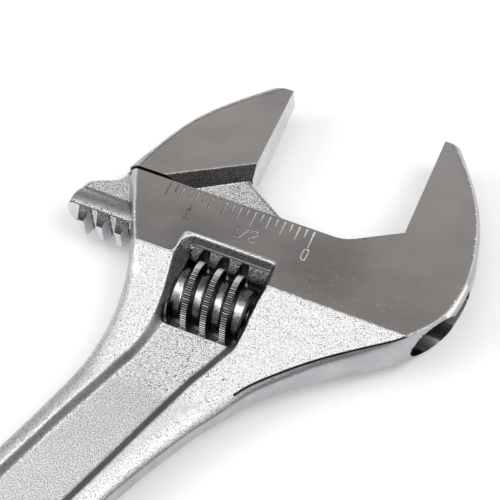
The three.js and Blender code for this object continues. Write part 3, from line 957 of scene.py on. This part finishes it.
def layered(look, base, *layers):
    """Lays (share, finish) layers over a base finish."""
    colour, rough, height = base
    for share, (top_colour, top_rough, top_height) in layers:
        colour = look.mix(share, colour, top_colour)
        rough = look.blend(share, rough, top_rough)
        height = look.blend(share, height, top_height)
    return colour, rough, height


# In the masks below, 1 is where a finish lies and 0 is where it doesn't.
def ground_area(look, above):
    """The side face from the edge of the skin up, but for the rim round the worm's window."""
    rim = look.math("SMOOTH_MAX", look.minus(-24.25, look.x), look.minus(look.y, -9.95), 1.6)
    rim = look.most(rim, look.times(look.minus(look.x, -4.7), 4.0))
    inward = look.math("SMOOTH_MIN", above, rim, 2.4)
    inward = look.times_plus(look.noise(1.6, 2), 0.3, inward)
    return look.times(look.spread(inward, 0.1, 0.3), look.spread(look.size(look.nz), 0.93, 0.985))


def outer_area(look, height):
    """Everything but the walls of the window, the bore and the slot."""
    across = look.minus(look.size(look.minus(look.x, WINDOW_ZONE[0])), ZONE_HALF[0])
    down = look.minus(look.size(look.minus(look.y, WINDOW_ZONE[1])), ZONE_HALF[1])
    bore = look.minus(look.distance_to(None, BORE_Y, 0), BORE_RADIUS + 0.12)
    slot = look.most(look.minus(height, SLOT_HALF + 0.08), look.minus(look.y, 0.1),
                     look.minus(BORE_Y, look.y))
    return look.spread(look.least(look.most(across, down), bore, slot), -0.03, 0.03)


def engraved(look, skin, outer):
    """Fills the scale's grooves: painted shade along their walls and a lighter floor, both lightest near the
    zero.
    """
    depth = look.minus(look.times_plus(look.y, -GROUND_TAPER, GROUND_HALF), look.z)
    cut = look.times(look.spread(depth, 0.01, 0.03), look.spread(look.z, 4.0, 4.5),
                     look.spread(look.y, -8.5, -8.0), outer,
                     look.spread(look.y, -0.1, -0.3), look.spread(look.x, -36.5, -36.0))
    lighter_near_zero = look.spread(look.x, -20, -2)
    # edge is painted shade on the grooves' walls.
    edge = look.mix(lighter_near_zero, (0.02, 0.019, 0.018), (0.45, 0.43, 0.4))
    edge = look.mix(look.spread(look.x, -28, -29.5), edge, (0.22, 0.21, 0.2))
    middle = look.mix(lighter_near_zero, (0.62, 0.58, 0.55), (0.9, 0.88, 0.85))
    return look.mix(cut, skin, look.mix(look.spread(depth, 0.12, 0.145), edge, middle))


def body_steel():
    """Forged skin, with ground side faces and trimmed edges. The rough walls in the window and the channel
    carry painted shade, as do the sunk panel, its walls and a line along the skin's edge, and the rims carry
    a painted highlight.
    """
    look = Look("body_steel")
    height = look.size(look.z)
    level = look.size(look.nz)
    into_panel = look.stored("panel")
    above = look.minus(look.y, GROUND_END)
    outer = outer_area(look, height)
    side = look.times(look.spread(level, 0.72, 0.6), outer)
    # The walls inside the window, the bore and the slot get painted shade below.
    walls = look.times(look.minus(1.0, outer), look.spread(level, 0.965, 0.93),
                       look.spread(look.y, -33.5, -28))
    forged = granular(look, pitted=look.spread(into_panel, 0.2, 1.2))
    ground = ground_steel(look, (36, -70), math.radians(22))
    skin, rough, height_mm = layered(look, forged, (side, milled(look, 0.66)),
                                     (ground_area(look, above), ground), (walls, shaded_granular(look)))
    # Painted shade: the skin darkens a little into the sunk panel.
    skin = look.tinted(skin, look.spread(into_panel, 0, 1.2, 1, 0.93))

    # Painted shade on the sunk panel's walls.
    panel_wall_shade = look.times(look.spread(level, 0.96, 0.84), look.spread(look.size(into_panel), 1.6, 1.0),
                            look.minus(1.0, walls), look.spread(above, -6, -9))
    skin = look.mix(look.times(panel_wall_shade, 0.75), skin, (0.10, 0.10, 0.10))

    # Painted highlight along the creases, partly real rubbed bare steel on the edges.
    rubbed_glint = look.times(look.spread(look.stored("edge_wear_glint"), 0.2, 0.7, 0, 0.8), look.spread(above, -0.2, 0.2),
                      look.spread(height, 4.6, 5.0), look.spread(look.x, -3.0, -4.0))
    skin = look.mix(rubbed_glint, skin, RUBBED_GLINT)

    rim = look.spread(look.size(look.stored("rim_distance")), 0.3, 0.1)
    across = look.minus(look.times(look.x, math.cos(HEAD_ANGLE)), look.times(look.y, math.sin(HEAD_ANGLE)))
    # Painted shadow line where the forged skin meets the trimmed side wall on the handle's right side.
    edge_shadow_line = look.times(rim, look.spread(above, 0.1, -0.3), look.spread(across, 5.0, 5.6))
    skin = look.mix(edge_shadow_line, skin, (0.01, 0.01, 0.012))
    # Painted highlight along the edge of the ground faces, partly a real polished edge.
    polished_glint = look.times(rim, look.spread(above, -0.1, 0.3), 0.8)
    skin = look.mix(polished_glint, skin, (0.9, 0.9, 0.89))
    return look.finish(engraved(look, skin, outer), rough, height_mm)


def jaw_steel():
    """Ground blade and face, forged neck and bar, and machined rack teeth, with painted shade on the step,
    the gap, the bar's top and the teeth, and a painted highlight on the edges.
    """
    look = Look("jaw_steel")
    height = look.size(look.z)
    level = look.size(look.nz)
    on_blade = look.spread(look.y, 0.2, 0.6)
    ground = look.times(look.spread(level, 0.96, 0.99), look.spread(height, NECK_HALF + 0.3, NECK_HALF + 0.6),
                        look.spread(look.y, -3.0, -2.5))
    face = look.times(look.spread(look.nx, 0.8, 0.95), on_blade)
    back = look.times(look.spread(level, 0.8, 0.6), look.spread(look.y, 4.0, 5.0),
                      look.spread(look.ny, -0.3, -0.2))
    cut_across = look.most(look.size(look.nx), look.times(look.ny, -1.0))
    tooth = look.times(look.spread(cut_across, 0.93, 0.965), look.spread(look.y, -11.55, -11.75))
    # Painted shade: the teeth's ends are painted almost black.
    tooth_end_shade = look.times(look.spread(look.y, -11.4, -11.6), look.minus(1.0, tooth))
    # Painted shade on the step's wall.
    step_wall_shade = look.times(look.spread(look.ny, -0.35, -0.5), on_blade)
    skin, rough, height_mm = layered(look, granular(look, pitted=0.9),
                                     (look.most(face, back, tooth), milled(look, 1.0)),
                                     (ground, ground_steel(look, (18, -23), math.radians(50))),
                                     (step_wall_shade, granular(look, (0.25,) * 3, (0.02,) * 3, 0.9)),
                                     (tooth_end_shade, granular(look, (0.24,) * 3, (0.008,) * 3, 2.0)))

    # gap is a painted shadow in the gap beside the step.
    gap = look.times(look.spread(look.x, STEP_CORNER + 2.5, STEP_CORNER),
                     look.spread(look.y, LEDGE_Y + 0.1, LEDGE_Y), look.spread(look.y, -0.4, 0), 0.9)
    skin = look.mix(gap, skin, (0.01, 0.01, 0.01))
    # Painted shade on the bar's upper side below the neck.
    from_axis = look.distance_to(None, BORE_Y, 0)
    bar_top_shade = look.times(look.spread(from_axis, BAR_RADIUS + 0.2, BAR_RADIUS - 0.1),
                         look.spread(look.y, -6.0, -6.6), look.spread(look.y, -11.4, -10.6), 0.6)
    skin = look.mix(bar_top_shade, skin, (0.36, 0.35, 0.34))
    # Painted shade: the rack's teeth inside the window are painted almost black.
    window_teeth_shade = look.times(look.spread(look.x, -33, -29), tooth, 0.93)
    skin = look.mix(window_teeth_shade, skin, (0.012, 0.012, 0.012))
    # Painted highlight along the jaw's creases, partly real rubbed bare steel on the edges.
    rubbed_glint = look.times(look.spread(look.stored("edge_wear_glint"), 0.25, 0.8, 0, 0.7), look.spread(look.y, 0.0, 0.4))
    skin = look.mix(rubbed_glint, skin, RUBBED_GLINT)
    return look.finish(skin, rough, height_mm)


def worm_steel():
    """Turned and plated steel, bright on the ribs and lands, with painted shade towards the thread's root, at
    its feet and between the crest's ribs.
    """
    look = Look("worm_steel")
    radius = look.distance_to(None, WORM_Y, 0)
    smear = look.noise(0.6, 3)
    fine = look.noise(4.0, 2)
    turned = look.node("CombineXYZ", X=look.times(look.x, 9.0), Y=look.times(look.y, 0.3),
                       Z=look.times(look.z, 0.3))
    lines = look.noise(1.0, 2, turned.outputs[0])
    colour = look.mix(look.spread(smear, 0.4, 0.6), (0.50, 0.495, 0.48), (0.68, 0.675, 0.66))
    # Painted shade, patchy, darker towards the thread's root.
    root_shade = look.times(look.spread(radius, THREAD_ROOT + 0.9, THREAD_ROOT + 0.1, 0, 0.25),
                     look.spread(smear, 0.35, 0.6))
    colour = look.mix(root_shade, colour, (0.16, 0.155, 0.15))
    stain = look.times(look.spread(look.noise(1.3, 3), 0.50, 0.62), 0.7)
    colour = look.mix(stain, colour, (0.17, 0.16, 0.15))

    # off is the distance along x from the nearest turn of the crest, and middle is that turn's x.
    angle = look.math("ARCTAN2", look.z, look.minus(look.y, WORM_Y))
    along = look.minus(look.minus(look.x, CREST_X), look.times(angle, PITCH / (2 * math.pi)))
    off = look.math("WRAP", along, PITCH / 2, -PITCH / 2)
    middle = look.minus(look.x, off)
    first = CREST_X + (THREAD_START / (2 * math.pi) - 1) * PITCH
    threaded = look.times(look.spread(middle, first - 0.1, first),
                          look.spread(middle, LAST_CREST, LAST_CREST - 0.6))
    left_foot = look.times(look.spread(off, -CREST_HALF - 1.0, -CREST_HALF - 0.65),
                           look.spread(off, -CREST_HALF + 0.03, -CREST_HALF - 0.03))
    right_foot = look.times(look.spread(off, CREST_HALF + 0.75, CREST_HALF + 0.5),
                            look.spread(off, CREST_HALF - 0.03, CREST_HALF + 0.03))
    # Painted shade: near-black bands at the feet of the thread's flanks.
    thread_foot_shade = look.times(look.most(left_foot, right_foot), threaded, 0.9)
    colour = look.mix(thread_foot_shade, colour, (0.03, 0.029, 0.028))
    crest = look.times(look.spread(look.size(off), CREST_HALF + 0.03, CREST_HALF - 0.03), threaded,
                       look.spread(radius, THREAD_ROOT + 0.9, THREAD_ROOT + 1.1))
    colour = look.mix(crest, colour, (0.62, 0.61, 0.60))
    wave = look.math("COSINE", look.times(angle, RIBS))
    # Painted shade in the furrows between the crest's ribs.
    furrow_shade = look.times(look.spread(wave, 0.35, -0.15), crest, look.spread(middle, first + 0.2, first + 0.35))
    colour = look.mix(furrow_shade, colour, (0.03, 0.03, 0.03))
    rough = look.times_plus(smear, 0.12, look.spread(lines, 0.3, 0.7, 0.12, 0.26))
    rough = look.blend(crest, rough, look.spread(fine, 0.3, 0.7, 0.36, 0.44))
    height = look.times_plus(lines, 0.006, look.times_plus(fine, 0.006, look.times(smear, 0.03)))
    return look.finish(colour, rough, height)


def drawn_steel(name, colour, dark):
    """Drawn steel for the pin and the spring, in cloudy shades."""
    look = Look(name)
    smear = look.noise(0.9, 3)
    fine = look.noise(6.0, 2)
    shade = look.mix(look.spread(smear, 0.35, 0.65), dark, colour)
    rough = look.spread(fine, 0.3, 0.7, 0.2, 0.38)
    return look.finish(shade, rough, look.times(fine, 0.008))


# ---- build ----
body_piece = build_body()
engrave_scale(body_piece)
mark_edges(body_piece)
shade_from_field(body_piece, body_field)
jaw_piece = build_jaw()
shade_from_field(jaw_piece, jaw_field)
thread_piece, core_piece = build_worm()
pin_piece = build_pin()
spring_piece = build_spring()
for piece, body, node, slot in (
        (body_piece, "frame", "body", "forged_body"),
        (jaw_piece, "jaw", "movable_jaw", "jaw_steel"),
        (thread_piece, "worm", "worm", "worm_steel"),
        (core_piece, "worm", "worm", "worm_steel"),
        (pin_piece, "frame", "worm_pin", "pin_steel"),
        (spring_piece, "frame", "worm_spring", "spring_steel")):
    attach(piece, body)
    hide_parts(node)


# ---- camera, floor and light ----
CAMERA_PLACE = (59.752, -145.162, 260.619)  # these three are measured from the ground face
CAMERA_AIM = (-10.285, -9.209, 0)
CAMERA_ABOVE = (-10.285, -9.209, 1)
CAMERA_ROLL = -4.428  # degrees
GROUND_LEAN = 4.27  # degrees; GROUND_TAPER is its tangent, rounded

SOFTBOX_TOWARDS = (-0.252, -0.05, 0.966)
SOFT_LIGHTS = (  # name, direction from the head, distance and diameter in m, radiance
    ("softbox", SOFTBOX_TOWARDS, 0.9, 0.5, 1.3),
    ("right_light", (0.55, 0.1, 0.83), 1.0, 0.7, 4.5),
    ("left_light", (-0.75, -0.3, 0.6), 1.0, 0.7, 3.5))
STUDIO_LEVELS = ((0.02, 0.16), (0.5, 0.13), (0.78, 0.2), (0.9, 0.62), (0.97, 1.1))
FLOOR_HALF = 2
FLOOR_GLOW = 0.15


def add_camera():
    """Looks down on the head from beyond the handle's right side."""
    data = bpy.data.cameras.new("camera")
    data.lens = 109.0
    data.sensor_width = 36
    data.clip_start = 0.01
    camera = bpy.data.objects.new("camera", data)
    bpy.context.scene.collection.objects.link(camera)
    place, aim, above = (Vector(to_row([tilted(p)])[0]) for p in (CAMERA_PLACE, CAMERA_AIM, CAMERA_ABOVE))
    back = (place - aim).normalized()
    right = (above - aim).cross(back).normalized()
    turn = Matrix((right, back.cross(right), back)).transposed()
    roll = Matrix.Rotation(math.radians(CAMERA_ROLL), 3, "Z")
    camera.matrix_world = Matrix.Translation(place) @ (turn @ roll).to_4x4()
    bpy.context.scene.camera = camera


def tilted(point):
    """Turns a point measured from the ground face, which leans, into the head frame."""
    lean = math.radians(GROUND_LEAN)
    c, s = math.cos(lean), math.sin(lean)
    u, v, w = point
    return (u, v * c + w * s, GROUND_HALF - v * s + w * c)


def add_floor():
    """A pale matt table top that glows a little, so that it reads white under a soft light."""
    mesh = bpy.data.meshes.new("floor")
    corners = [(x * FLOOR_HALF, y * FLOOR_HALF, 0) for x, y in ((-1, -1), (1, -1), (1, 1), (-1, 1))]
    mesh.from_pydata(corners, [], [(0, 1, 2, 3)])
    floor = bpy.data.objects.new("floor", mesh)
    bpy.context.scene.collection.objects.link(floor)
    material = bpy.data.materials.new("floor")
    material.use_nodes = True
    shader = material.node_tree.nodes["Principled BSDF"]
    shader.inputs["Base Color"].default_value = (0.9, 0.9, 0.9, 1)
    shader.inputs["Roughness"].default_value = 0.9
    shader.inputs["Specular IOR Level"].default_value = 0.1
    shader.inputs["Emission Color"].default_value = (1, 1, 1, 1)
    shader.inputs["Emission Strength"].default_value = FLOOR_GLOW
    mesh.materials.append(material)


def direction(x, y, z):
    """A direction of the head frame, in the row frame."""
    return Vector([x * a + y * b for a, b in zip(ALONG, UPWARD)]) + Vector((0, 0, z))


def add_softbox(name, towards, distance, size, radiance):
    """A round soft light seen from the head in this direction of the head frame."""
    data = bpy.data.lights.new(name, "AREA")
    data.shape = "DISK"
    data.size = size
    data.energy = radiance * math.pi * math.pi * size * size / 4
    light = bpy.data.objects.new(name, data)
    middle = Vector(to_row([(-5, 0, 0)])[0])
    light.location = middle + direction(*towards).normalized() * distance
    light.rotation_euler = (middle - light.location).to_track_quat("-Z", "Y").to_euler()
    bpy.context.scene.collection.objects.link(light)


def add_studio():
    """A dim room that brightens overhead towards the soft box."""
    world = bpy.data.worlds.new("studio")
    world.use_nodes = True
    tree = world.node_tree
    back = tree.nodes["Background"]
    where = tree.nodes.new("ShaderNodeTexCoord")
    toward = tree.nodes.new("ShaderNodeVectorMath")
    toward.operation = "DOT_PRODUCT"
    toward.inputs[1].default_value = direction(*SOFTBOX_TOWARDS).normalized()
    tree.links.new(where.outputs["Generated"], toward.inputs[0])
    ramp = tree.nodes.new("ShaderNodeValToRGB")
    ramp.color_ramp.interpolation = "EASE"
    stops = ramp.color_ramp.elements
    for place, level in STUDIO_LEVELS:
        stop = stops.new(place)
        stop.color = (level, level, level, 1)
    stops.remove(stops[0])
    stops.remove(stops[-1])
    tree.links.new(toward.outputs["Value"], ramp.inputs["Fac"])
    tree.links.new(ramp.outputs["Color"], back.inputs["Color"])
    bpy.context.scene.world = world


# ---- finish ----
body_piece.data.materials.append(body_steel())
jaw_piece.data.materials.append(jaw_steel())
worm_finish = worm_steel()
thread_piece.data.materials.append(worm_finish)
core_piece.data.materials.append(worm_finish)
pin_piece.data.materials.append(drawn_steel("pin_steel", (0.6, 0.59, 0.57), (0.4, 0.39, 0.38)))
spring_piece.data.materials.append(drawn_steel("spring_steel", (0.55, 0.45, 0.38), (0.32, 0.26, 0.22)))
add_camera()
add_floor()
for light in SOFT_LIGHTS:
    add_softbox(*light)
add_studio()
bpy.context.scene.view_settings.view_transform = "Standard"
